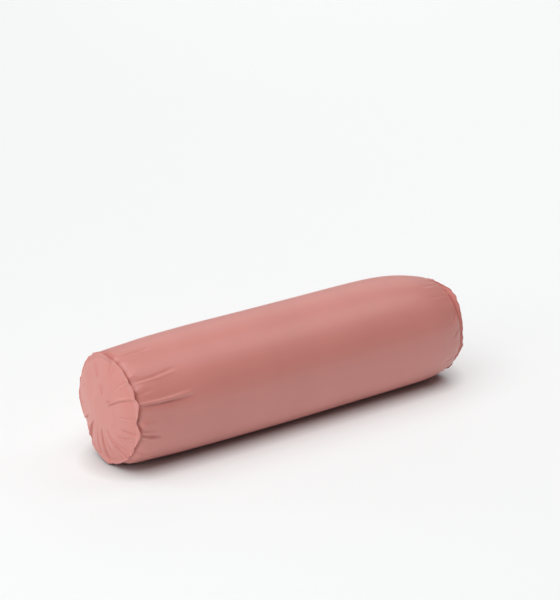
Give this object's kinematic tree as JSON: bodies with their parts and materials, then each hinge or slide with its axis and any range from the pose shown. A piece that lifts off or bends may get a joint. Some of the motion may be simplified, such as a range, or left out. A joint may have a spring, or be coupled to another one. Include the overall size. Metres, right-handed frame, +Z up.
{
  "type": "bolster pillow",
  "caption": "Long round massage bolster: foam core in fibre wrap and liner, inside a zipped sateen cover with flanged round ends.",
  "frame": {"origin": "on the floor, under the middle of the bolster", "axes": "+X along the bolster from its left end to its right end, +Z up, +Y to the back, where the zip is"},
  "size_m": [0.68, 0.2004, 0.1963],
  "materials": {
    "cover_cloth": "smooth dusty-pink cotton sateen",
    "liner_cloth": "unbleached plain-weave cotton",
    "batting": "bonded polyester fibre",
    "foam": "open-cell polyurethane foam",
    "zip_tape": "woven polyester tape",
    "zip_coil": "dyed nylon coil",
    "zip_metal": "nickel-plated zinc alloy",
    "thread": "spun polyester thread",
    "label": "satin label, blank"
  },
  "bodies": {
    "bolster": {"cover_body": "cover_cloth", "cover_end_left": "cover_cloth", "cover_end_right": "cover_cloth", "neck_thread_left": "thread", "neck_thread_right": "thread", "zip_tape_upper": "zip_tape", "zip_tape_lower": "zip_tape", "zip_coil_upper": "zip_coil", "zip_coil_lower": "zip_coil", "zip_top_stop_upper": "zip_metal", "zip_top_stop_lower": "zip_metal", "zip_bottom_stop": "zip_metal", "care_label": "label", "liner_body": "liner_cloth", "liner_end_left": "liner_cloth", "liner_end_right": "liner_cloth", "batting_wrap": "batting", "batting_end_left": "batting", "batting_end_right": "batting", "foam_core": "foam"},
    "slider": {"zip_slider": "zip_metal"},
    "pull": {"zip_pull": "zip_metal"}
  },
  "joints": [
    {"name": "zip_slide", "type": "slide", "parent": "bolster", "child": "slider", "axis": [1, 0, 0], "range_m": [-0.35, 0]},
    {"name": "zip_pull_hinge", "type": "hinge", "parent": "slider", "child": "pull", "pos_m": [0.1752, 0.09848, 0.12295], "axis": [0, -0.2588, 0.9659], "range_deg": [0, 180]}
  ]
}
